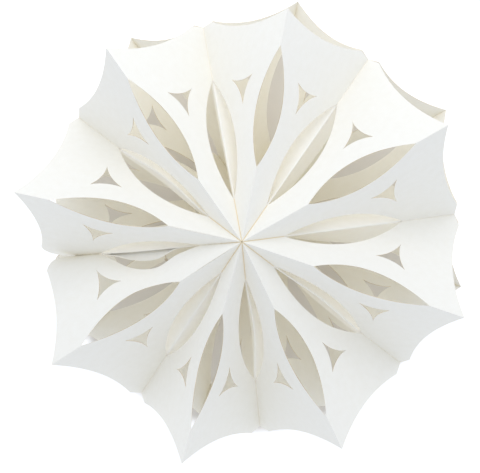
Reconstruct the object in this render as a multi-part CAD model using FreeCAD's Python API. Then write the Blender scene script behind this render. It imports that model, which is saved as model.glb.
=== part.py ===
"""Folding paper star ball: eight die-cut petals round one axis, joined at a seam.

The frame has its origin at the middle of the axis that all the folds run to, with +Z along
that axis towards the front point. Lengths are in millimetres and angles in degrees.

Every petal is a folded card sheet: two triangular walls, glued to the next petals' walls,
and four panels that fold out from the walls' slanted edges, the valley creases. Two panels
meet at the front ridge and two at the back ridge. Seen flat, a wall and its panels make one
rectangle, so a single flat angle sets both of the creases.
"""
import FreeCAD, Part

import math
import os

# Driving dimensions of the flat sheet.
half_axis = 95.0            # centre to the front point, along the axis
valley_radius = 135.5       # axis to the outer end of a valley crease
ridge_length = 151.0        # front point to a petal's tip, along the ridge
sheet = 0.25                # card thickness

# The petals' openings, counter-clockwise from the seam: the card is folded by hand.
seam_azimuth = -170.0
seam_opening = 0.9          # between the two seam walls, which aren't glued
openings = [46.6, 35.5, 45.0, 46.0, 51.5, 48.5, 44.5, 41.5]

# Die-cut windows. Distances run from the front or back point, along a crease.
ridge_leaf = (49.5, 126.5)  # ends of the leaf across a ridge
ridge_leaf_half = 14.5      # its half width, on each panel
valley_leaf = (31.5, 123.5) # ends of the leaf along a valley crease
valley_leaf_half = 13.0     # its width on the panel; the wall isn't cut
triangle = [(88.5, 29.5), (106.5, 26.5), (102.0, 46.5)]
triangle_dip = 2.2          # how far the triangle's sides curve inwards
rim_corner = (139.5, 85.5)  # where the scalloped rim ends, beside the valley
rim_dip = 6.5               # how far the scallop curves inwards

# Clearances that let the folds move.
hub_clearance = 11.0        # sheets stop this far from the axis, where they fold together
crease_clearance = 1.0      # a panel stops this far from its valley crease
ridge_clearance = 0.4       # a panel stops this far from its ridge at the hub
ridge_relief = 0.6          # and its edge leaves the ridge by this angle towards the tip

# The wire tie that holds the seam shut.
tie_radius = 52.0           # from the axis
tie_height = 34.0           # above the middle of the star
tie_wire = 0.4              # radius of the wire
tie_hole = 1.6              # radius of the holes that it passes through
tie_stand_off = 1.2         # from the first petal's wall to the bent tail
tie_back = 2.5              # the shank's length behind that wall
tie_tail = 7.0              # length of the tail, bent along the wall

flat_angle = math.atan(half_axis / valley_radius)
PETALS = len(openings)


def polar(radius, azimuth, height=0.0):
    """The point at an azimuth in degrees."""
    turn = math.radians(azimuth)
    return FreeCAD.Vector(radius * math.cos(turn), radius * math.sin(turn), height)


def fold_angle(opening):
    """How far a panel stands out from its wall, in radians, for a petal's opening."""
    side = math.tan(math.radians(opening) / 2)
    across = math.sin(flat_angle)
    lift = side * math.sin(flat_angle) ** 2
    reach = side * math.cos(flat_angle) ** 2
    return math.asin(reach / math.hypot(across, lift)) + math.atan2(lift, across)


def ridge_drop(opening):
    """The ridge's fall towards the middle plane, per unit of its length."""
    return math.sin(flat_angle) * math.cos(flat_angle) * (1 - math.cos(fold_angle(opening)))


def bowed(start, end, dip):
    """An arc from start to end whose middle lies dip to the left of the straight line."""
    along = end - start
    left = FreeCAD.Vector(-along.y, along.x, 0).normalize()
    return Part.Arc(start, (start + end) * 0.5 + left * dip, end).toShape()


def straight(start, end):
    """A straight edge."""
    return Part.LineSegment(start, end).toShape()


def flat(s, p):
    """A point of a sheet lying in the XY plane."""
    return FreeCAD.Vector(s, p, 0)


def plate(edges, low, high):
    """A plate of card between two heights, from its outline's edges."""
    face = Part.Face(Part.Wire(edges))
    face.translate(FreeCAD.Vector(0, 0, low))
    return face.extrude(FreeCAD.Vector(0, 0, high - low))


def placed(shape, origin, x_axis, y_axis):
    """The shape moved from the XY plane to the plane of two unit vectors."""
    z_axis = x_axis.cross(y_axis)
    matrix = FreeCAD.Matrix(
        x_axis.x, y_axis.x, z_axis.x, origin.x,
        x_axis.y, y_axis.y, z_axis.y, origin.y,
        x_axis.z, y_axis.z, z_axis.z, origin.z,
        0, 0, 0, 1)
    moved = shape.copy()
    moved.Placement = FreeCAD.Placement(matrix)
    return moved


def crease_point(distance, face):
    """A point of a wall's slanted edge, in the wall's own radius and height."""
    radius = distance * math.cos(flat_angle)
    height = half_axis - distance * math.sin(flat_angle)
    return flat(radius, face * height)


def wall_outline():
    """The triangular wall, from the hub out to where its two slanted edges meet."""
    start = hub_clearance / math.cos(flat_angle)
    end = math.hypot(half_axis, valley_radius)
    corners = [crease_point(start, 1), crease_point(end, 1), crease_point(start, -1)]
    return [straight(corner, corners[(index + 1) % 3]) for index, corner in enumerate(corners)]


def wall(azimuth, side):
    """A wall sheet on one side of a radial plane: side 1 lies counter-clockwise of it."""
    low, high = sorted((0, -side * sheet))
    outward = polar(1, azimuth)
    up = FreeCAD.Vector(0, 0, 1)
    # The plate's thickness runs along outward x up, which points clockwise.
    return placed(plate(wall_outline(), low, high), FreeCAD.Vector(), outward, up)


def valley_point(distance, inset):
    """A point of the panel beside the valley crease, inset from it, in the flat panel."""
    along = flat(math.cos(flat_angle), math.sin(flat_angle))
    inwards = flat(math.sin(flat_angle), -math.cos(flat_angle))
    return along * distance + inwards * inset


def ridge_point(distance):
    """A point of the panel beside the ridge, in the flat panel."""
    return flat(distance, ridge_clearance + distance * math.tan(math.radians(ridge_relief)))


def panel_plate():
    """A panel lying flat: x runs along the ridge from the point, y towards the valley."""
    inner = hub_clearance / math.cos(flat_angle)
    crease_length = math.hypot(half_axis, valley_radius)
    leaf_near = ridge_point(ridge_leaf[0])
    leaf_far = ridge_point(ridge_leaf[1])
    leaf_gap = (leaf_near.y + leaf_far.y) / 2
    tip = ridge_point(ridge_length)
    corner = flat(*rim_corner)
    hub_ridge = ridge_point(inner)
    valley_end = valley_point(crease_length, crease_clearance)
    valley_far = valley_point(valley_leaf[1], crease_clearance)
    valley_near = valley_point(valley_leaf[0], crease_clearance)
    hub_valley = valley_point(inner, crease_clearance)
    edges = [
        straight(hub_ridge, leaf_near),
        bowed(leaf_near, leaf_far, ridge_leaf_half - leaf_gap),
        straight(leaf_far, tip),
        bowed(tip, corner, rim_dip),
        straight(corner, valley_end),
        straight(valley_end, valley_far),
        bowed(valley_far, valley_near, valley_leaf_half - crease_clearance),
        straight(valley_near, hub_valley),
        straight(hub_valley, hub_ridge),
    ]
    window = []
    for index, corner in enumerate(triangle):
        following = triangle[(index + 1) % len(triangle)]
        window.append(bowed(flat(*corner), flat(*following), triangle_dip))
    body = plate(edges, -sheet / 2, sheet / 2)
    return body.cut(plate(window, -sheet, sheet))


def panel(azimuth, side, face, opening):
    """A panel folded out from a wall: side 1 lies counter-clockwise of the wall."""
    drop = ridge_drop(opening)
    level = math.sqrt(1 - drop ** 2)
    ridge = polar(level, azimuth + side * opening / 2, -face * drop)
    valley = polar(math.cos(flat_angle), azimuth, -face * math.sin(flat_angle))
    towards_valley = (valley - ridge * ridge.dot(valley)).normalize()
    inwards = polar(1, azimuth + side * 90)
    point = FreeCAD.Vector(0, 0, face * half_axis) + inwards * (sheet / 2)
    return placed(panel_plate(), point, ridge, towards_valley)


def tie_place(stand_off):
    """A point on the tie's shank, at a distance from the first petal's wall plane."""
    azimuth = seam_azimuth + seam_opening / 2
    return polar(tie_radius, azimuth, tie_height) + polar(stand_off, azimuth + 90)


def tie_hole_cutter():
    """A cylinder that pierces both seam walls round the tie."""
    start = tie_place(-2 * tie_back)
    length = 4 * tie_back
    return Part.makeCylinder(tie_hole, length, start, polar(1, seam_azimuth + 90))


def seam_tie():
    """A thin wire through both seam walls, with its tail bent along the inner one."""
    azimuth = seam_azimuth + seam_opening / 2
    bend = tie_place(tie_stand_off)
    across = polar(1, azimuth + 90)
    tail = (FreeCAD.Vector(0, 0, 1) - polar(1, azimuth)).normalize()
    shank = Part.makeCylinder(tie_wire, tie_stand_off + tie_back, tie_place(-tie_back), across)
    elbow = Part.makeSphere(tie_wire, bend)
    leg = Part.makeCylinder(tie_wire, tie_tail, bend, tail)
    return shank.fuse([elbow, leg])


def petal_parts(number, start, opening):
    """The six sheets of a petal, by name. The right side is its clockwise side."""
    parts = {}
    at_seam = {(1, "right"), (PETALS, "left")}
    for side_name, azimuth, side in (("right", start, 1), ("left", start + opening, -1)):
        sheet_wall = wall(azimuth, side)
        if (number, side_name) in at_seam:
            sheet_wall = sheet_wall.cut(tie_hole_cutter())
        parts[f"petal_{number}_{side_name}_wall"] = sheet_wall
        for face_name, face in (("front", 1), ("back", -1)):
            name = f"petal_{number}_{face_name}_{side_name}_panel"
            parts[name] = panel(azimuth, side, face, opening)
    return parts


def build():
    """Every node's shape, by name."""
    parts = {}
    azimuth = seam_azimuth + seam_opening / 2
    for number, opening in enumerate(openings, start=1):
        parts.update(petal_parts(number, azimuth, opening))
        azimuth += opening
    parts["seam_tie"] = seam_tie()
    return parts


os.makedirs("parts", exist_ok=True)
for node, shape in build().items():
    shape.exportStep(f"parts/{node}.step")
    print(node, len(shape.Solids), shape.isValid(), round(shape.Volume, 1))
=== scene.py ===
"""Looks of the folding paper star ball: die-cut white card petals, glued walls and a wire tie.

Lengths are in millimetres and turned into metres where meshes are made. A petal's card is
worked out flat, from its point: s runs along the ridge and p from the ridge to the valley
crease. It is then bent as a cone round the point, which keeps every length in the card.
"""
import math

import bpy
import numpy as np
from mathutils import Matrix, Vector
from mathutils.geometry import delaunay_2d_cdt


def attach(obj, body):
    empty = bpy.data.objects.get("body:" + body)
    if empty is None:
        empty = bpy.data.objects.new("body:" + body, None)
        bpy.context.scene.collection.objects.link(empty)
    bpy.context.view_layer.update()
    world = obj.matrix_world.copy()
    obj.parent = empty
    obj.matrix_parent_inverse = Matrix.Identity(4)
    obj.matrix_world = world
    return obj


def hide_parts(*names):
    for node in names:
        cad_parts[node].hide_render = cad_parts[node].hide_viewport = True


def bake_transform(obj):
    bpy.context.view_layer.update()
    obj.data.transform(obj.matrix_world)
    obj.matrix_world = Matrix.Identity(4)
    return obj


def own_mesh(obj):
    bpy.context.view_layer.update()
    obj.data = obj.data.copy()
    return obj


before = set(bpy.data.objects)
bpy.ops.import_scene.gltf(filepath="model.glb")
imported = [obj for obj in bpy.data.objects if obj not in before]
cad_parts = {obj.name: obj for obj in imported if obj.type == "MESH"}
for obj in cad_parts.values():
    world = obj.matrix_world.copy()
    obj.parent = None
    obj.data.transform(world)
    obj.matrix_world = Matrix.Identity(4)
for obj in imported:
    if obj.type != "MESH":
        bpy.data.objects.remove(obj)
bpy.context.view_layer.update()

MM = 0.001
scene = bpy.context.scene

# The folded star's dimensions, as in the CAD model.
HALF_AXIS = 95.0            # from the star's middle to each of its two points
VALLEY_RADIUS = 135.5       # from the axis to a wall's outer corner
RIDGE_LENGTH = 151.0
FLAT = math.atan(HALF_AXIS / VALLEY_RADIUS)     # a panel's angle at its point
CREASE_LENGTH = math.hypot(HALF_AXIS, VALLEY_RADIUS)
SEAM_AZIMUTH = -170.0
SEAM_OPENING = 0.9
OPENINGS = [46.6, 35.5, 45.0, 46.0, 51.5, 48.5, 44.5, 41.5]
PETALS = len(OPENINGS)
RIDGE_LEAF = (48.5, 127.0)  # where a leaf starts and ends, from the point
RIDGE_LEAF_HALF = 14.0
VALLEY_LEAF = (31.5, 123.5)
VALLEY_LEAF_HALF = 13.0
LEAF_INNER = 0.97           # how blunt a leaf's inner end is
LEAF_OUTER = 1.03           # and its outer end
TRIANGLE = [(87.0, 29.3), (107.4, 25.4), (102.4, 48.0)]
TRIANGLE_DIP = 2.2
RIM_CORNER = (139.5, 85.5)
RIM_DIP = 6.5

# Signs: a face looks towards +z (+1) or -z, and a petal's side is its clockwise one (+1) or the other.
FACE_NAMES = {1: "front", -1: "back"}
SIDE_NAMES = {1: "right", -1: "left"}

# The card as it looks.
CARD = 0.4                  # thickness
APEX_START = 0.4            # how far from the point the panels begin
WALL_START = 3.0            # how far from the axis the walls begin
RIDGE_TAPER = 12.0          # a panel thins towards its ridge over this width
RIDGE_SHARE = 0.15          # to this share of the thickness
POINT_TAPER = 25.0          # a sheet thins this near to its point, or to the axis
POINT_SHARE = 0.2           # to this share of the thickness
RIPPLES = (0.35, 0.2)       # heights of a panel's two slight waves
GLUED_FOLD = (5.0, 0.93)    # flat angle that rounds into a valley, and the fold's sharp share
SHARP_EDGE = 38             # degrees at which shading breaks

# How far each wall sheet stands off into its cell, by its petal and side.
BULGES = {
    (1, 1): 0.6, (1, -1): 9.0, (2, 1): 8.5, (2, -1): 2.0, (3, 1): 6.0, (3, -1): 6.5,
    (4, 1): 3.5, (4, -1): 13.5, (5, 1): 6.5, (5, -1): 9.0, (6, 1): 8.5, (6, -1): 7.0,
    (7, 1): 3.0, (7, -1): 4.0, (8, 1): 5.0, (8, -1): 7.0,
}
FLARE = 8.5                 # depth over which a wall sheet flares into its cell
DEEP_BELLIES = {(3, -1), (4, -1), (5, -1)}      # sheets that stand off further down
# How far a wall's free edge bows counter-clockwise between the ends of its leaf.
BOWS = {2: 2.4, 3: 1.8, 7: -3.2}
BOW_DEPTH = 20.0            # depth over which a bow dies away

# The two free sheets at the seam. First their folds, in place of GLUED_FOLD.
SEAM_FOLDS = {(1, 1): (17.0, 0.0), (PETALS, -1): (8.0, 0.6)}
# Their rounded rim corners: a rim point, a distance along the crease and the bulge between.
SEAM_CORNERS = {(1, 1): ((138.0, 72.0), 145.0, 5.0), (PETALS, -1): ((140.6, 78.0), 158.0, 3.4)}
# Their edges: distance from the axis, and how far the edge stands off its plane.
SEAM_WAVES = {
    (1, 1): [
        (0, 0), (34, -0.5), (45, 0), (60, 5.4), (78, 4.4), (90, 0.6), (100, -1.45), (112, -1.65),
        (122, -1.9), (130, -3.2), (138, -3.6)],
    (PETALS, -1): [(0, 0), (112, 0), (138, 1.6)],
}
SEAM_DEPTH = 5.0            # this far below their edges the two walls meet
SEAM_GAP = 0.05             # and this is what stays between them
WAVE_REACH = 13.0           # how far into a petal a wave dies away

# The tie: a wire through both seam walls, twisted once and bent aside in the first petal.
WIRE_RADIUS = 0.34
# Its points' distances from the axis, off the first seam wall and up: a shank and a tail.
TIE_SHANK = [(54.6, -2.4, 44.4), (54.9, 1.0, 43.8), (55.3, 6.6, 42.6)]
TIE_TAIL = [(54.6, 10.0, 42.6), (53.6, 11.3, 42.9), (52.7, 12.6, 43.2)]
TWIST_START = (55.4, 7.6, 42.2)
TWIST_RADIUS = 0.8
TWIST_TURNS = 2
TWIST_STEPS = 8             # to a turn
TWIST_ADVANCE = 0.09        # along the wire for each step

CARD_DARK = (0.906, 0.877, 0.792)
CARD_LIGHT = (0.926, 0.902, 0.826)
# the tan of the painted shade along the valley creases
CREASE_SHADE_TAN = (0.82, 0.68, 0.42)
EDGE_DARK = (0.55, 0.44, 0.28)
EDGE_LIGHT = (0.80, 0.70, 0.52)
WIRE_DARK = (0.42, 0.33, 0.24)
WIRE_LIGHT = (0.86, 0.80, 0.70)
TABLE_COLOUR = (0.93, 0.93, 0.935)
PAINTED_SHADOW_COLOUR = (0.75, 0.71, 0.645)     # painted shadow: the table's darker colour under the star
SKY_COLOUR = (0.846, 0.897, 1.0)

TABLE_SIZE = 14.0           # metres
TABLE_CLEARANCE = 0.8       # below the star's back point
PAINTED_SHADOW_MIDDLE = (-0.006, -0.021, 0.0)   # the painted shadow's middle, in metres, like the next two
PAINTED_SHADOW_RADII = (0.130, 0.139)           # where the painted shadow starts to fade and where it ends
PAINTED_TABLE_GLOW = 0.38                       # painted glow: the table's emission strength beyond it
SKY_STRENGTH = 0.922

CAMERA_EYE = (0.1106, 0.2012, 1.8397)   # metres
CAMERA_AIM = (-0.0073, -0.0074, 0.0)
CAMERA_LENS = 208.6


def polar(radius, azimuth, height=0.0):
    """A point at an azimuth in degrees."""
    turn = math.radians(azimuth)
    return np.array([radius * math.cos(turn), radius * math.sin(turn), height])


# ---------------------------------------------------------------- the fold

def fold_curve(turn, fold, steps=260):
    """Directions from the point and their tangents, from the valley crease to the ridge.

    x is radial in the wall's plane, y goes into the cell and z is up. The card turns by
    `turn` in all, partly at the crease and partly in a rounded band beside it.
    """
    step = FLAT / steps
    band, crisp = math.radians(fold[0]), fold[1]
    sharp = turn * crisp
    direction = np.array([math.cos(FLAT), 0.0, -math.sin(FLAT)])
    tangent = np.array([
        math.sin(FLAT) * math.cos(sharp), math.sin(sharp), math.cos(FLAT) * math.cos(sharp)])
    directions, tangents = [direction], [tangent]
    for index in range(steps):
        across = (index + 0.5) * step / band
        rate = turn * (1 - crisp) * 2.0 * (1.0 - across) / band if across < 1 else 0.0
        direction, tangent = (
            direction * math.cos(step) + tangent * math.sin(step),
            tangent * math.cos(step) - direction * math.sin(step))
        inwards = np.cross(tangent, direction)
        tangent = tangent * math.cos(rate * step) + inwards * math.sin(rate * step)
        directions.append(direction)
        tangents.append(tangent)
    return np.array(directions), np.array(tangents)


def solve_fold(opening, fold):
    """The fold curve whose ridge lies half-way across a petal's opening."""
    low, high = 0.05, 1.6
    target = math.radians(opening) / 2
    for _ in range(40):
        turn = (low + high) / 2
        ridge = fold_curve(turn, fold)[0][-1]
        if math.atan2(ridge[1], ridge[0]) < target:
            low = turn
        else:
            high = turn
    return fold_curve(turn, fold)


def petal_curve(number, side, opening):
    """A petal side's fold curve, eased so that both sides share one ridge."""
    shared = solve_fold(opening, GLUED_FOLD)
    fold = SEAM_FOLDS.get((number, side))
    if fold is None:
        return shared
    directions, tangents = solve_fold(opening, fold)
    share = np.linspace(0, 1, len(directions))[:, None] ** 2
    directions = directions + (shared[0][-1] - directions[-1]) * share
    directions /= np.linalg.norm(directions, axis=1)[:, None]
    tangents = tangents + (shared[1][-1] - tangents[-1]) * share
    return directions, tangents


# ---------------------------------------------------------------- the flat card

def arc_points(start, end, dip, spacing=1.8):
    """Points along an arc, from start up to but without end, dipping to the left."""
    start, end = np.array(start, float), np.array(end, float)
    along = end - start
    left = np.array([-along[1], along[0]]) / np.linalg.norm(along)
    count = max(2, int(np.linalg.norm(along) / spacing))
    share = np.arange(count) / count
    return start + np.outer(share, along) + np.outer(4 * dip * share * (1 - share), left)


def leaf_points(start, end, half, side, spacing=1.6):
    """Points along half a pointed leaf, from start up to but without end, on its left (+1) or right."""
    start, end = np.array(start, float), np.array(end, float)
    along = end - start
    left = np.array([-along[1], along[0]]) / np.linalg.norm(along) * side
    count = int(np.linalg.norm(along) / spacing)
    share = np.arange(count) / count
    peak = LEAF_INNER / (LEAF_INNER + LEAF_OUTER)
    top = peak ** LEAF_INNER * (1 - peak) ** LEAF_OUTER
    width = half * share ** LEAF_INNER * (1 - share) ** LEAF_OUTER / top
    return start + np.outer(share, along) + np.outer(width, left)


def crease_flat(distance):
    """A point of the valley crease on the flat card."""
    return np.array([distance * math.cos(FLAT), distance * math.sin(FLAT)])


def reversed_run(points, end):
    """A run of points that leads up to end, listed from end, without its first point."""
    return np.vstack([points, end])[::-1][:-1]


def panel_outline(corner=None):
    """The panel's outline, from the point along the ridge and back along the crease."""
    near, far = (RIDGE_LEAF[0], 0.0), (RIDGE_LEAF[1], 0.0)
    tip = (RIDGE_LENGTH, 0.0)
    inner, outer = crease_flat(VALLEY_LEAF[0]), crease_flat(VALLEY_LEAF[1])
    leaf = leaf_points(inner, outer, VALLEY_LEAF_HALF, -1)
    rim_end, crease_end, bulge = corner or (RIM_CORNER, CREASE_LENGTH, 0.0)
    runs = [
        arc_points((APEX_START, 0.0), near, 0.0),
        leaf_points(near, far, RIDGE_LEAF_HALF, 1),
        arc_points(far, tip, 0.0),
        arc_points(tip, rim_end, RIM_DIP),
        arc_points(rim_end, crease_flat(crease_end), -bulge),
        arc_points(crease_flat(crease_end), outer, 0.0),
        reversed_run(leaf, outer),
        arc_points(inner, crease_flat(APEX_START), 0.0),
        [crease_flat(APEX_START)],
    ]
    return np.vstack(runs)


def window_outline():
    """The small curved triangle's outline."""
    runs = []
    for index, corner in enumerate(TRIANGLE):
        following = TRIANGLE[(index + 1) % len(TRIANGLE)]
        runs.append(arc_points(corner, following, TRIANGLE_DIP, 1.2))
    return np.vstack(runs)


def inside(points, outline):
    """Whether each point lies in a closed outline."""
    x, y = points[:, 0][:, None], points[:, 1][:, None]
    a, b = outline, np.roll(outline, -1, 0)
    crosses = (a[:, 1] > y) != (b[:, 1] > y)
    rise = np.where(np.abs(b[:, 1] - a[:, 1]) < 1e-12, 1e-12, b[:, 1] - a[:, 1])
    at = a[:, 0] + (y - a[:, 1]) * (b[:, 0] - a[:, 0]) / rise
    return (crosses & (x < at)).sum(1) % 2 == 1


def clear_of(points, outline, gap):
    """Whether each point is further than a gap from every point of an outline."""
    apart = points[:, None, :] - outline[None, :, :]
    return (np.hypot(apart[..., 0], apart[..., 1]) > gap).all(1)


def triangulated(outline, hole, seeds):
    """Flat points and triangles that fill an outline round its hole."""
    points, edges = [], []
    for loop in (outline, hole):
        first = len(points)
        points.extend(loop.tolist())
        count = len(loop)
        edges.extend((first + i, first + (i + 1) % count) for i in range(count))
    points.extend(seeds.tolist())
    made = delaunay_2d_cdt([Vector(point) for point in points], edges, [], 0, 1e-6)
    flat = np.array([[point.x, point.y] for point in made[0]])
    triangles = np.array([list(face) for face in made[2]])
    centres = flat[triangles].mean(1)
    keep = inside(centres, outline) & ~inside(centres, hole)
    a, b, c = (flat[triangles[:, i]] for i in range(3))
    area = (b[:, 0] - a[:, 0]) * (c[:, 1] - a[:, 1]) - (b[:, 1] - a[:, 1]) * (c[:, 0] - a[:, 0])
    keep &= np.abs(area) > 1e-5
    triangles[area < 0] = triangles[area < 0][:, ::-1]
    triangles = triangles[keep]
    used = np.unique(triangles)
    place = np.full(len(flat), -1)
    place[used] = np.arange(len(used))
    return flat[used], place[triangles]


def panel_mesh(corner=None):
    """The flat panel, with rulings that are close together in the rounded band."""
    outline, hole = panel_outline(corner), window_outline()
    band_start = 22.0           # degrees from the ridge
    coarse = np.arange(2.0, band_start, 2.2)
    fine = np.arange(band_start, math.degrees(FLAT) - 0.3, 0.75)
    distances = np.arange(7.0, 172.0, 4.0)
    seeds = []
    for angle in np.radians(np.concatenate([coarse, fine])):
        seeds.extend((distance * math.cos(angle), distance * math.sin(angle)) for distance in distances)
    seeds = np.array(seeds)
    seeds = seeds[inside(seeds, outline) & ~inside(seeds, hole)]
    seeds = seeds[clear_of(seeds, outline, gap=0.7) & clear_of(seeds, hole, gap=0.9)]
    return triangulated(outline, hole, seeds)


def crease_height(radius):
    """How high a valley crease is above the star's middle, at a distance from the axis."""
    return HALF_AXIS * (1 - radius / VALLEY_RADIUS)


def wall_mesh(end):
    """The flat wall out to a radius: its points' radius and height, and its triangles.

    Its rows lie closer together near the two creases.
    """
    radii = np.concatenate([[WALL_START], np.arange(6.0, end - 1.0, 2.4), [end]])
    rows = np.linspace(-1, 1, 33)
    rows = np.sign(rows) * (1 - (1 - np.abs(rows)) ** 1.25)
    flat = []
    for radius in radii:
        height = crease_height(radius)
        flat.extend((radius, row * height) for row in rows)
    triangles = []
    count = len(rows)
    for i in range(len(radii) - 1):
        for j in range(count - 1):
            a = i * count + j
            b = a + count
            triangles.append((a, b, b + 1))
            triangles.append((a, b + 1, a + 1))
    return np.array(flat), np.array(triangles)


# ---------------------------------------------------------------- solids of card

def boundary_edges(triangles):
    """The directed edges that only one triangle has."""
    directed = {(int(t[i]), int(t[(i + 1) % 3])) for t in triangles for i in range(3)}
    return [edge for edge in sorted(directed) if (edge[1], edge[0]) not in directed]


def sheet_object(name, outer, inner, triangles, flat, grain_shift, flip, material, edge=None):
    """A solid sheet of card from its outer and inner faces, which share their triangles."""
    count = len(outer)
    if flip:
        triangles = triangles[:, ::-1]
    faces = [tuple(int(i) for i in t) for t in triangles]
    faces += [tuple(int(i) + count for i in t[::-1]) for t in triangles]
    face_count = len(faces)
    for a, b in boundary_edges(triangles):
        faces.append((b, a, a + count, b + count))
    mesh = bpy.data.meshes.new(name)
    mesh.from_pydata((np.vstack([outer, inner]) * MM).tolist(), [], faces)
    mesh.validate()
    loops = np.zeros(len(mesh.loops), np.int32)
    mesh.loops.foreach_get("vertex_index", loops)
    for layer, shift in (("card", grain_shift), ("sheet", (0.0, 0.0))):
        uv = mesh.uv_layers.new(name=layer)
        place = flat[loops % count] * MM + np.array(shift)
        uv.data.foreach_set("uv", place.astype(np.float32).ravel())
    mesh.polygons.foreach_set("use_smooth", [True] * len(mesh.polygons))
    mesh.set_sharp_from_angle(angle=math.radians(SHARP_EDGE))
    mesh.materials.append(material)
    if edge:
        mesh.materials.append(edge)
        slots = (np.arange(len(mesh.polygons)) >= face_count).astype(np.int32)
        mesh.polygons.foreach_set("material_index", slots)
    made = bpy.data.objects.new(name, mesh)
    scene.collection.objects.link(made)
    return made


def to_row_frame(points, azimuth, side, face):
    """Points of a wall's own frame, turned to its azimuth, side and face."""
    turn = math.radians(azimuth)
    x, y, z = points[:, 0], points[:, 1] * side, points[:, 2] * face
    return np.stack([
        x * math.cos(turn) - y * math.sin(turn),
        x * math.sin(turn) + y * math.cos(turn),
        z], 1)


def eased(x, stops):
    """A smooth curve through (place, value) stops, level at each end."""
    places, values = np.array(stops, float).T
    slopes = np.gradient(values, places)
    slopes[0] = slopes[-1] = 0.0
    x = np.clip(x, places[0], places[-1])
    i = np.clip(np.searchsorted(places, x) - 1, 0, len(places) - 2)
    width = places[i + 1] - places[i]
    t = (x - places[i]) / width
    return (values[i] * (1 + 2 * t) * (1 - t) ** 2 + values[i + 1] * t * t * (3 - 2 * t)
            + width * (slopes[i] * t * (1 - t) ** 2 - slopes[i + 1] * t * t * (1 - t)))


def warped(points, number, side):
    """Points of the two sheets at the seam, moved: the sheets wander where only the tie holds them.

    Their edges follow SEAM_WAVES, and below the edges the right sheet closes the seam's opening.
    """
    if (number, side) not in SEAM_WAVES:
        return points
    turn = math.radians(wall_azimuths[0 if side > 0 else -1])
    radius = points[:, 0] * math.cos(turn) + points[:, 1] * math.sin(turn)
    inwards = (points[:, 1] * math.cos(turn) - points[:, 0] * math.sin(turn)) * side
    depth = crease_height(radius) - np.abs(points[:, 2])
    sunk = np.clip(depth / SEAM_DEPTH, 0, 1)
    shift = eased(radius, SEAM_WAVES[number, side]) * (1 - sunk)
    if side > 0:
        shift -= (math.radians(SEAM_OPENING) * radius - SEAM_GAP).clip(0) * sunk
    shift *= np.exp(-(np.maximum(inwards, 0) / WAVE_REACH) ** 2) * side
    moved = points.copy()
    moved[:, 0] -= shift * math.sin(turn)
    moved[:, 1] += shift * math.cos(turn)
    return moved


def ripple(flat, seed):
    """Slight hand-folded unevenness of a panel, nought along its ridge and crease."""
    s, p = flat[:, 0], flat[:, 1]
    alpha = np.arctan2(p, s) / FLAT
    far = np.hypot(s, p) / RIDGE_LENGTH
    edge = np.sin(np.pi * np.clip(alpha, 0, 1)) * far
    wave = RIPPLES[0] * np.sin(seed * 1.7 + 2.6 * far + 2.1 * alpha)
    wave += RIPPLES[1] * np.sin(seed * 4.1 + 6.3 * far - 3.3 * alpha)
    return edge * wave


def panel_object(number, side, face, azimuth, curve, material, edge):
    """One panel of a petal, bent round the point and thickened inwards."""
    flat, triangles = panel_flats.get((number, side), panel_flats[None])
    directions, tangents = curve
    distance = np.hypot(flat[:, 0], flat[:, 1])
    alpha = np.arctan2(flat[:, 1], flat[:, 0])
    place = np.clip((FLAT - alpha) / FLAT, 0, 1) * (len(directions) - 1)
    steps = np.arange(len(directions))
    direction = np.stack([np.interp(place, steps, directions[:, i]) for i in range(3)], 1)
    tangent = np.stack([np.interp(place, steps, tangents[:, i]) for i in range(3)], 1)
    normal = np.cross(direction, tangent)
    normal /= np.linalg.norm(normal, axis=1)[:, None]
    seed = number * 4 + (side + 1) + (face + 1) / 2
    outer = direction * distance[:, None] + normal * ripple(flat, seed)[:, None]
    outer[:, 2] += HALF_AXIS
    thickness = CARD * np.clip(flat[:, 1] / RIDGE_TAPER, RIDGE_SHARE, 1.0)
    thickness *= np.clip(distance / POINT_TAPER, POINT_SHARE, 1.0)
    offset = -normal * thickness[:, None]
    # Along the ridge the inner face is mitred to the petal's middle plane.
    ridge = directions[-1]
    middle = np.array([ridge[0], ridge[1], 0.0]) / math.hypot(ridge[0], ridge[1])
    bisector = np.cross(np.cross(middle, ridge), ridge)
    bisector /= np.linalg.norm(bisector)
    if bisector[2] < 0:
        bisector = -bisector
    at_ridge = flat[:, 1] < 1e-6
    mitre = thickness[at_ridge] / float(normal[at_ridge][0] @ bisector)
    offset[at_ridge] = -bisector * mitre[:, None]
    inner = outer + offset
    grain_shift = np.array([0.31, 0.17]) * seed
    return sheet_object(
        f"petal_{number}_{FACE_NAMES[face]}_{SIDE_NAMES[side]}_card",
        warped(to_row_frame(outer, azimuth, side, face), number, side),
        warped(to_row_frame(inner, azimuth, side, face), number, side),
        triangles, flat, grain_shift, side * face < 0, material, edge)


def wall_bulge(flat, number, side):
    """How far a wall sheet stands off its plane: it flares below its creases."""
    radius, height = flat[:, 0], flat[:, 1]
    limit = np.maximum(crease_height(radius), 0.1)
    depth = np.clip(limit - np.abs(height), 0, None)
    flare = (1 - np.exp(-depth / FLARE)) / (1 - np.exp(-HALF_AXIS / 2 / FLARE))
    if (number, side) in DEEP_BELLIES:
        flare = np.sin(math.pi / 2 * depth / limit) ** 2
    along = np.sin(np.pi * np.clip(radius / VALLEY_RADIUS, 0, 1)) ** 0.8
    # Each sheet is slightly uneven in its own way.
    seed = number * 2 + side
    uneven = 1 + 0.10 * np.sin(seed * 2.3 + radius * 0.045) + 0.07 * np.sin(seed + height * 0.06)
    inner, outer = (end * math.cos(FLAT) for end in VALLEY_LEAF)
    free = np.clip((radius - inner) / (outer - inner), 0, 1)
    wall_index = number - 1 if side > 0 else number
    bow = BOWS.get(wall_index, 0.0) * np.sin(np.pi * free) ** 2 * np.exp(-(depth / BOW_DEPTH) ** 2)
    return BULGES[number, side] * flare * along * uneven + bow * side


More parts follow.
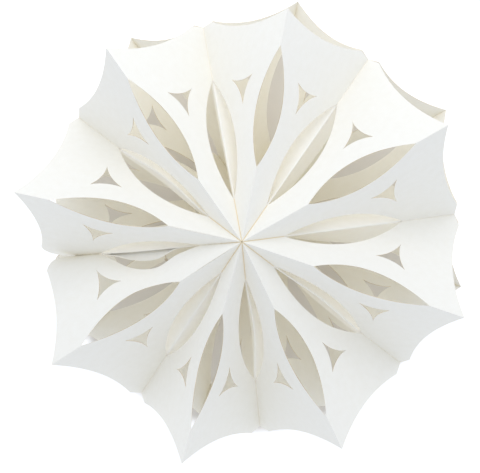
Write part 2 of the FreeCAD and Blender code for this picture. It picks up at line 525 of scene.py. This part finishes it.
def wall_object(number, side, azimuth, material):
    """One wall sheet of a petal, standing off into its cell."""
    flat, triangles = wall_flats.get((number, side), wall_flats[None])
    outer = np.stack([flat[:, 0], wall_bulge(flat, number, side), flat[:, 1]], 1)
    inner = outer.copy()
    inner[:, 1] += CARD * np.clip(flat[:, 0] / POINT_TAPER, POINT_SHARE, 1.0)
    grain_shift = np.array([0.23, 0.41]) * (number * 2 + side + 70)
    return sheet_object(
        f"petal_{number}_{SIDE_NAMES[side]}_wall_card",
        warped(to_row_frame(outer, azimuth, side, 1), number, side),
        warped(to_row_frame(inner, azimuth, side, 1), number, side),
        triangles, flat, grain_shift, side < 0, material)


# ---------------------------------------------------------------- materials

def new_material(name, roughness):
    """A material with its nodes, its links and one matte shader on its output."""
    material = bpy.data.materials.new(name)
    material.use_nodes = True
    nodes, links = material.node_tree.nodes, material.node_tree.links
    nodes.clear()
    output = nodes.new("ShaderNodeOutputMaterial")
    shader = nodes.new("ShaderNodeBsdfPrincipled")
    shader.inputs["Roughness"].default_value = roughness
    links.new(shader.outputs["BSDF"], output.inputs["Surface"])
    return material, nodes, links, shader


def noise_node(nodes, scale, detail=2.0, roughness=0.5):
    """A noise texture, with its scale in cycles to the metre."""
    noise = nodes.new("ShaderNodeTexNoise")
    noise.inputs["Scale"].default_value = scale
    noise.inputs["Detail"].default_value = detail
    noise.inputs["Roughness"].default_value = roughness
    return noise


def ramp_node(nodes, start, start_colour, end, end_colour):
    """A colour ramp between two places."""
    ramp = nodes.new("ShaderNodeValToRGB")
    for element, place, colour in zip(
            ramp.color_ramp.elements, (start, end), (start_colour, end_colour)):
        element.position = place
        element.color = (*colour, 1)
    return ramp


def range_node(nodes, start, end, start_value, end_value, interpolation="LINEAR"):
    """A value that runs from one number to another between two places."""
    made = nodes.new("ShaderNodeMapRange")
    made.interpolation_type = interpolation
    made.inputs["From Min"].default_value = start
    made.inputs["From Max"].default_value = end
    made.inputs["To Min"].default_value = start_value
    made.inputs["To Max"].default_value = end_value
    return made


def math_node(nodes, operation, kind="ShaderNodeMath"):
    """A node that does one operation on numbers or, with another kind, on vectors."""
    made = nodes.new(kind)
    made.operation = operation
    return made


def colour_mix_node(nodes):
    """A mix of two colours, A and B."""
    made = nodes.new("ShaderNodeMix")
    made.data_type = "RGBA"
    return made


def bump_node(nodes, strength, distance):
    """A bump, with its distance in metres."""
    bump = nodes.new("ShaderNodeBump")
    bump.inputs["Strength"].default_value = strength
    bump.inputs["Distance"].default_value = distance
    return bump


def card_material(name, crease):
    """Uncoated white card: faint cloudy mottling, short fibres and a fine tooth, and with crease a thin
    tan line of painted shade along the valley crease.
    """
    material, nodes, links, shader = new_material(name, roughness=0.82)
    shader.inputs["Specular IOR Level"].default_value = 0.25
    place = nodes.new("ShaderNodeUVMap")
    place.uv_map = "card"
    cloud = noise_node(nodes, 190.0, detail=5.0, roughness=0.6)
    mottling = ramp_node(nodes, 0.3, CARD_DARK, 0.72, CARD_LIGHT)
    stretch = nodes.new("ShaderNodeMapping")
    stretch.inputs["Scale"].default_value = (1.0, 4.5, 1.0)
    stretch.inputs["Rotation"].default_value = (0.0, 0.0, 0.6)
    fibres = noise_node(nodes, 900.0, detail=3.0)
    tooth = noise_node(nodes, 2600.0)
    total = math_node(nodes, "ADD")
    bump = bump_node(nodes, strength=0.22, distance=0.00012)
    links.new(place.outputs["UV"], cloud.inputs["Vector"])
    links.new(place.outputs["UV"], stretch.inputs["Vector"])
    links.new(stretch.outputs["Vector"], fibres.inputs["Vector"])
    links.new(place.outputs["UV"], tooth.inputs["Vector"])
    links.new(fibres.outputs["Fac"], total.inputs[0])
    links.new(tooth.outputs["Fac"], total.inputs[1])
    links.new(total.outputs["Value"], bump.inputs["Height"])
    links.new(bump.outputs["Normal"], shader.inputs["Normal"])
    links.new(cloud.outputs["Fac"], mottling.inputs["Fac"])
    # With crease set, a thin tan line of painted shade is laid along the valley crease.
    if crease:
        crease_shade_mix = paint_crease_shade(nodes, links)
        links.new(mottling.outputs["Color"], crease_shade_mix.inputs["A"])
        links.new(crease_shade_mix.outputs["Result"], shader.inputs["Base Color"])
    else:
        links.new(mottling.outputs["Color"], shader.inputs["Base Color"])
    return material


def paint_crease_shade(nodes, links):
    """Painted shade in the valley crease: a thin tan line, whose distance is worked out on the flat
    sheet.
    """
    sheet = nodes.new("ShaderNodeUVMap")
    sheet.uv_map = "sheet"
    off = math_node(nodes, "DOT_PRODUCT", "ShaderNodeVectorMath")
    off.inputs[1].default_value = (math.sin(FLAT), -math.cos(FLAT), 0.0)
    # Painted shade: darkest on the crease and gone 0.8 mm off it, and fainter away from the point.
    shade_band = range_node(nodes, 0.0001, 0.0008, 0.75, 0.0, "SMOOTHSTEP")
    reach = math_node(nodes, "LENGTH", "ShaderNodeVectorMath")
    fade = range_node(nodes, 0.02, 0.075, 1.0, 0.12)
    shade_amount = math_node(nodes, "MULTIPLY")
    crease_shade_mix = colour_mix_node(nodes)
    crease_shade_mix.inputs["B"].default_value = (*CREASE_SHADE_TAN, 1)
    links.new(sheet.outputs["UV"], off.inputs[0])
    links.new(off.outputs["Value"], shade_band.inputs["Value"])
    links.new(sheet.outputs["UV"], reach.inputs[0])
    links.new(reach.outputs["Value"], fade.inputs["Value"])
    links.new(shade_band.outputs["Result"], shade_amount.inputs[0])
    links.new(fade.outputs["Result"], shade_amount.inputs[1])
    links.new(shade_amount.outputs["Value"], crease_shade_mix.inputs["Factor"])
    return crease_shade_mix


def edge_material():
    """The card's cut edge, a mottled brown from dark to light."""
    material, nodes, links, shader = new_material("cut_edge", roughness=0.85)
    place = nodes.new("ShaderNodeTexCoord")
    edge_cloud = noise_node(nodes, 60.0)
    edge_tones = ramp_node(nodes, 0.3, EDGE_DARK, 0.75, EDGE_LIGHT)
    links.new(place.outputs["Object"], edge_cloud.inputs["Vector"])
    links.new(edge_cloud.outputs["Fac"], edge_tones.inputs["Fac"])
    links.new(edge_tones.outputs["Color"], shader.inputs["Base Color"])
    return material


def wire_material():
    """Soft brass wire, slightly tarnished."""
    material, nodes, links, shader = new_material("tie_wire", roughness=0.38)
    shader.inputs["Metallic"].default_value = 1.0
    place = nodes.new("ShaderNodeTexCoord")
    tarnish = noise_node(nodes, 700.0)
    colours = ramp_node(nodes, 0.0, WIRE_DARK, 1.0, WIRE_LIGHT)
    bump = bump_node(nodes, strength=0.2, distance=0.00005)
    links.new(place.outputs["Object"], tarnish.inputs["Vector"])
    links.new(tarnish.outputs["Fac"], colours.inputs["Fac"])
    links.new(colours.outputs["Color"], shader.inputs["Base Color"])
    links.new(tarnish.outputs["Fac"], bump.inputs["Height"])
    links.new(bump.outputs["Normal"], shader.inputs["Normal"])
    return material


def table_material():
    """A matte white table top with painted light and shadow: it glows, apart from a round area under
    the star in a darker painted shadow colour.
    """
    material, nodes, links, shader = new_material("pale_table_painted_shadow_and_glow", roughness=0.9)
    shader.inputs["Specular IOR Level"].default_value = 0.1
    shader.inputs["Emission Color"].default_value = (1, 1, 1, 1)
    place = nodes.new("ShaderNodeTexCoord")
    cloud = noise_node(nodes, 3.0)
    darker = [channel * 0.985 for channel in TABLE_COLOUR]
    clouding = ramp_node(nodes, 0.0, darker, 1.0, TABLE_COLOUR)
    reach = math_node(nodes, "DISTANCE", "ShaderNodeVectorMath")
    reach.inputs[1].default_value = PAINTED_SHADOW_MIDDLE
    # Painted light and shadow: beyond the radii the table glows, and under the star its colour turns to
    # the darker painted shadow colour.
    glow = range_node(nodes, *PAINTED_SHADOW_RADII, 0.0, PAINTED_TABLE_GLOW, "SMOOTHSTEP")
    share = math_node(nodes, "DIVIDE")
    share.inputs[1].default_value = PAINTED_TABLE_GLOW
    colour = colour_mix_node(nodes)
    colour.inputs["A"].default_value = (*PAINTED_SHADOW_COLOUR, 1)
    links.new(place.outputs["Object"], reach.inputs[0])
    links.new(reach.outputs["Value"], glow.inputs["Value"])
    links.new(glow.outputs["Result"], shader.inputs["Emission Strength"])
    links.new(glow.outputs["Result"], share.inputs[0])
    links.new(share.outputs["Value"], colour.inputs["Factor"])
    links.new(place.outputs["Object"], cloud.inputs["Vector"])
    links.new(cloud.outputs["Fac"], clouding.inputs["Fac"])
    links.new(clouding.outputs["Color"], colour.inputs["B"])
    links.new(colour.outputs["Result"], shader.inputs["Base Color"])
    return material


# ---------------------------------------------------------------- the star

# The flat sheets, where None stands for all but the two at the seam.
panel_flats = {None: panel_mesh()}
wall_flats = {None: wall_mesh(VALLEY_RADIUS - 0.3)}
for seam_side, corner in SEAM_CORNERS.items():
    panel_flats[seam_side] = panel_mesh(corner)
    wall_flats[seam_side] = wall_mesh(corner[1] * math.cos(FLAT))

wall_azimuths = [SEAM_AZIMUTH + SEAM_OPENING / 2]
for opening in OPENINGS:
    wall_azimuths.append(wall_azimuths[-1] + opening)

# The panels' card carries the painted crease shade; the walls' card does not.
panel_card = card_material("white_card_painted_crease_shade", crease=True)
wall_card = card_material("white_wall_card", crease=False)
cut_edge = edge_material()


def add_wall(number, side, azimuth, wall_body):
    """A wall sheet, which rides on its wall."""
    wall = wall_object(number, side, azimuth, wall_card)
    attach(wall, wall_body)
    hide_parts(f"petal_{number}_{SIDE_NAMES[side]}_wall")
    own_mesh(wall)


def add_panel(number, side, face, azimuth, curve):
    """A panel, made in place of the CAD panel and left where it stands, on no body."""
    panel = panel_object(number, side, face, azimuth, curve, panel_card, cut_edge)
    name = f"petal_{number}_{FACE_NAMES[face]}_{SIDE_NAMES[side]}"
    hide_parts(f"{name}_panel")
    ridge = to_row_frame(curve[0][-1][None], azimuth, side, face)[0]
    crease = polar(math.cos(FLAT), azimuth, -face * math.sin(FLAT))
    inwards = ridge - crease * (ridge @ crease)
    inwards /= np.linalg.norm(inwards)
    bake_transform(panel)


for number, opening in enumerate(OPENINGS, start=1):
    for side, wall_index in ((1, number - 1), (-1, number)):
        curve = petal_curve(number, side, opening)
        azimuth = wall_azimuths[wall_index]
        wall_body = f"wall_{wall_index}"
        add_wall(number, side, azimuth, wall_body)
        for face in (1, -1):
            add_panel(number, side, face, azimuth, curve)


def tie_place(radius, across, height):
    """A place by its distances from the axis, off the first seam wall and up, in metres."""
    azimuth = wall_azimuths[0]
    return (polar(radius, azimuth, height) + polar(across, azimuth + 90)) * MM


def tie_places():
    """The wire's line: a straight shank, one small twist and a bent tail."""
    radius, across, height = TWIST_START
    places = [tie_place(*point) for point in TIE_SHANK]
    for index in range(TWIST_TURNS * TWIST_STEPS + 1):
        turn = index / TWIST_STEPS * 2 * math.pi
        places.append(tie_place(
            radius + TWIST_RADIUS * math.sin(turn), across + TWIST_ADVANCE * index,
            height + TWIST_RADIUS * math.cos(turn)))
    return places + [tie_place(*point) for point in TIE_TAIL]


def tie_wire_mesh():
    """The wire as a mesh, made from a curve."""
    line = bpy.data.curves.new("tie_line", "CURVE")
    line.dimensions = "3D"
    line.bevel_depth = WIRE_RADIUS * MM
    line.bevel_resolution = 4
    line.use_fill_caps = True
    spline = line.splines.new("NURBS")
    places = tie_places()
    spline.points.add(len(places) - 1)
    for point, place in zip(spline.points, places):
        point.co = (*place, 1.0)
    spline.order_u = 3
    spline.use_endpoint_u = True
    made = bpy.data.objects.new("tie_line", line)
    scene.collection.objects.link(made)
    bpy.context.view_layer.update()
    mesh = bpy.data.meshes.new_from_object(made)
    bpy.data.objects.remove(made)
    mesh.materials.clear()
    mesh.materials.append(wire_material())
    mesh.polygons.foreach_set("use_smooth", [True] * len(mesh.polygons))
    return mesh


tie = bpy.data.objects.new("seam_tie_wire", tie_wire_mesh())
scene.collection.objects.link(tie)
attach(tie, "wall_0")
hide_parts("seam_tie")
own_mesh(tie)


# ---------------------------------------------------------------- table, light and camera

def add_table():
    """The table top, just below the star."""
    bpy.ops.mesh.primitive_plane_add(
        size=TABLE_SIZE, location=(0, 0, -(HALF_AXIS + TABLE_CLEARANCE) * MM))
    table = bpy.context.active_object
    table.name = "table"
    table.data.materials.append(table_material())


def add_sky():
    """An even, slightly blue light from all round."""
    world = bpy.data.worlds.new("soft_studio")
    scene.world = world
    world.use_nodes = True
    background = world.node_tree.nodes["Background"]
    background.inputs["Color"].default_value = (*SKY_COLOUR, 1)
    background.inputs["Strength"].default_value = SKY_STRENGTH


def area_light(name, azimuth, elevation, distance, size, power):
    """A square soft light that points at the middle of the star. Lengths are in metres."""
    data = bpy.data.lights.new(name, "AREA")
    data.shape = "SQUARE"
    data.size = size
    data.energy = power
    made = bpy.data.objects.new(name, data)
    level = distance * math.cos(math.radians(elevation))
    made.location = polar(level, azimuth, distance * math.sin(math.radians(elevation)))
    made.rotation_mode = "QUATERNION"
    made.rotation_quaternion = Vector(made.location).to_track_quat("Z", "Y")
    made.visible_camera = False
    scene.collection.objects.link(made)


def add_camera():
    """The camera above the star, with the frame's y axis upwards."""
    eye, aim = Vector(CAMERA_EYE), Vector(CAMERA_AIM)
    back = (eye - aim).normalized()
    right = Vector((0, 1, 0)).cross(back).normalized()
    up = back.cross(right)
    data = bpy.data.cameras.new("camera")
    data.sensor_width = 36.0
    data.lens = CAMERA_LENS
    data.clip_start = 0.05
    data.clip_end = 60.0
    camera = bpy.data.objects.new("camera", data)
    camera.matrix_world = Matrix((
        (right.x, up.x, back.x, eye.x),
        (right.y, up.y, back.y, eye.y),
        (right.z, up.z, back.z, eye.z),
        (0, 0, 0, 1)))
    scene.collection.objects.link(camera)
    bpy.context.scene.camera = camera


add_table()
add_sky()
area_light("key", azimuth=88, elevation=44, distance=0.72, size=0.45, power=1.12)
add_camera()

scene.view_settings.view_transform = "Standard"
scene.view_settings.look = "None"
scene.cycles.max_bounces = 20
scene.cycles.diffuse_bounces = 16
